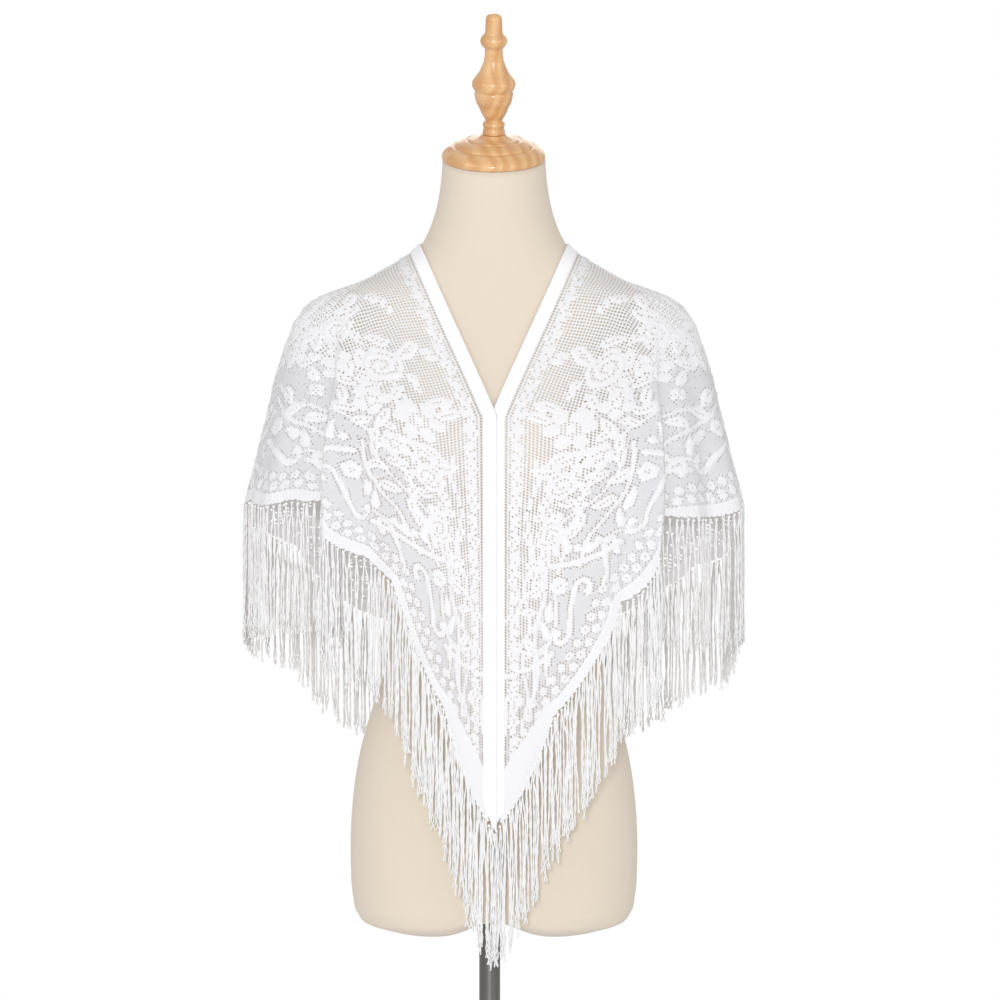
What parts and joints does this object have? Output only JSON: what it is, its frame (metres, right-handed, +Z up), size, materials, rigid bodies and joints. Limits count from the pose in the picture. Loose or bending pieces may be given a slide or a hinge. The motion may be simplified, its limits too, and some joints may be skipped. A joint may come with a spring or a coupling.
{
  "type": "lace shawl on a dress form",
  "caption": "White triangular lace shawl with a plain edge band and knotted fringe, draped on a limbless dress form with a turned wooden neck top, pole and round base.",
  "frame": {"origin": "on the floor under the dress form's axis, on the base's flat underside", "axes": "+Z up, the wearer's front faces -Y, the wearer's left is +X"},
  "size_m": [0.5263, 0.3, 1.7513],
  "materials": {
    "white_lace": "soft matt knit lace",
    "white_band": "close matt knit",
    "white_fringe": "soft yarn with a slight sheen",
    "beige_cover": "fine matt jersey",
    "light_oak": "clear gloss lacquer",
    "dark_steel": "dark polished"
  },
  "bodies": {
    "root": {"lace_body": "white_lace", "band_right": "white_band", "band_left": "white_band", "fringe_right": "white_fringe", "fringe_left": "white_fringe", "form_torso": "beige_cover", "neck_cap": "light_oak", "neck_finial": "light_oak", "stand_pole": "dark_steel", "stand_base": "dark_steel"}
  },
  "joints": []
}
